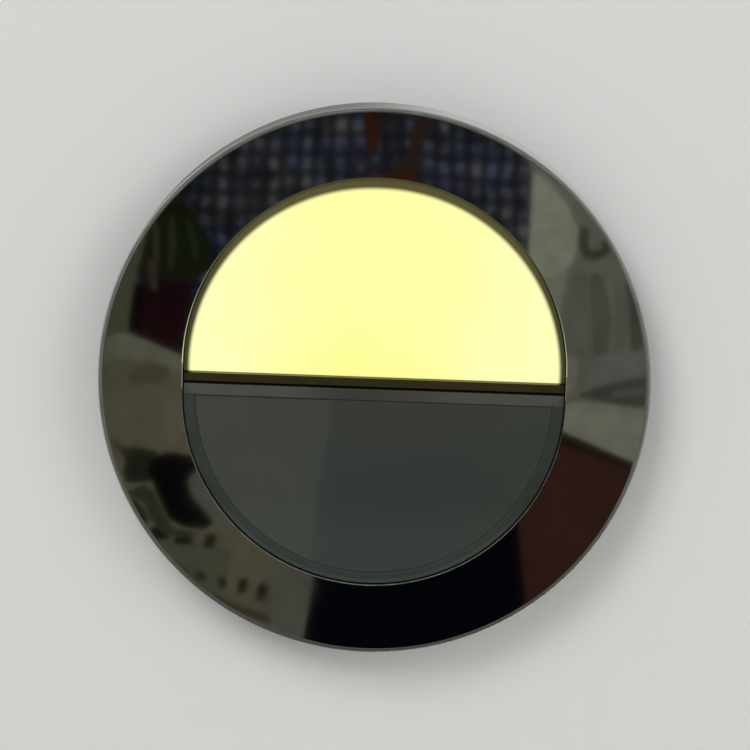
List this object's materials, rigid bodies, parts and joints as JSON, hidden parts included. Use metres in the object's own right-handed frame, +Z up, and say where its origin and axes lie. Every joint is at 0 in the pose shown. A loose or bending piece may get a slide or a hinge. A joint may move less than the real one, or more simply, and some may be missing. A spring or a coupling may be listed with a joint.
{
  "type": "elevator hall lantern",
  "caption": "Round hall lantern: mirror bezel with two half-moon lenses, upper lit, that twists onto a housing let into the wall, with LED boards, gong and pluggable terminal.",
  "frame": {"origin": "centre of the circle of fixing holes, on the lantern's axis, in the plane of the wall", "axes": "-Y out of the wall towards the viewer, +Z up the wall, +X to the viewer's right"},
  "size_m": [0.12, 0.057, 0.12],
  "materials": {
    "mirror_chrome": "mirror polished",
    "black_rubber": "matt",
    "lit_lens": "opal, lit",
    "unlit_lens": "opal, unlit",
    "black_plastic": "moulded",
    "dark_plastic": "fine texture",
    "grey_plastic": "fine texture",
    "zinc_steel": "zinc plated",
    "white_plastic": "moulded",
    "white_board": "white solder mask",
    "green_board": "green solder mask",
    "lit_led": "lit",
    "unlit_led": "phosphor",
    "brass": "turned",
    "capacitor_sleeve": "shrink sleeve",
    "ferrite": "pressed",
    "green_plastic": "moulded",
    "red_plastic": "moulded",
    "blue_plastic": "moulded"
  },
  "bodies": {
    "housing": {"housing": "grey_plastic", "wall_gasket": "black_rubber", "light_box": "white_plastic", "upper_led_board": "white_board", "lower_led_board": "white_board", "upper_leds": "lit_led", "lower_leds": "unlit_led", "led_board_screws": "zinc_steel", "standoffs": "brass", "board_links": "black_plastic", "driver_board": "green_board", "capacitors": "capacitor_sleeve", "inductor": "ferrite", "bridge_rectifier": "black_plastic", "optocouplers": "white_plastic", "control_chip": "black_plastic", "gong_sounder": "black_plastic", "terminal_header": "green_plastic", "header_pins": "brass", "dip_switch": "red_plastic", "volume_trimmer": "blue_plastic", "rear_cover": "dark_plastic", "cover_screws": "zinc_steel"},
    "front": {"bezel_ring": "mirror_chrome", "lens_seal": "black_rubber", "upper_lens": "lit_lens", "lower_lens": "unlit_lens", "divider_blade": "black_plastic", "lens_retainer": "dark_plastic", "retainer_screws": "zinc_steel", "locking_screw": "zinc_steel"},
    "plug": {"terminal_plug": "green_plastic", "clamp_screws": "zinc_steel"},
    "rotor": {"trimmer_rotor": "white_plastic"},
    "lever_1": {"dip_lever_1": "white_plastic"},
    "lever_2": {"dip_lever_2": "white_plastic"},
    "lever_3": {"dip_lever_3": "white_plastic"},
    "lever_4": {"dip_lever_4": "white_plastic"}
  },
  "joints": [
    {"name": "front_twist", "type": "hinge", "parent": "housing", "child": "front", "pos_m": [0, 0, 0], "axis": [0, -1, 0], "range_deg": [0, 20]},
    {"name": "plug_pull", "type": "slide", "parent": "housing", "child": "plug", "axis": [0, 1, 0], "range_m": [0, 0.008]},
    {"name": "volume_turn", "type": "hinge", "parent": "housing", "child": "rotor", "pos_m": [0.014, 0.0325, 0.021], "axis": [0, 1, 0], "range_deg": [-135, 135]},
    {"name": "lever_1_slide", "type": "slide", "parent": "housing", "child": "lever_1", "axis": [0, 0, 1], "range_m": [0, 0.002]},
    {"name": "lever_2_slide", "type": "slide", "parent": "housing", "child": "lever_2", "axis": [0, 0, 1], "range_m": [0, 0.002]},
    {"name": "lever_3_slide", "type": "slide", "parent": "housing", "child": "lever_3", "axis": [0, 0, 1], "range_m": [0, 0.002]},
    {"name": "lever_4_slide", "type": "slide", "parent": "housing", "child": "lever_4", "axis": [0, 0, 1], "range_m": [0, 0.002]}
  ]
}
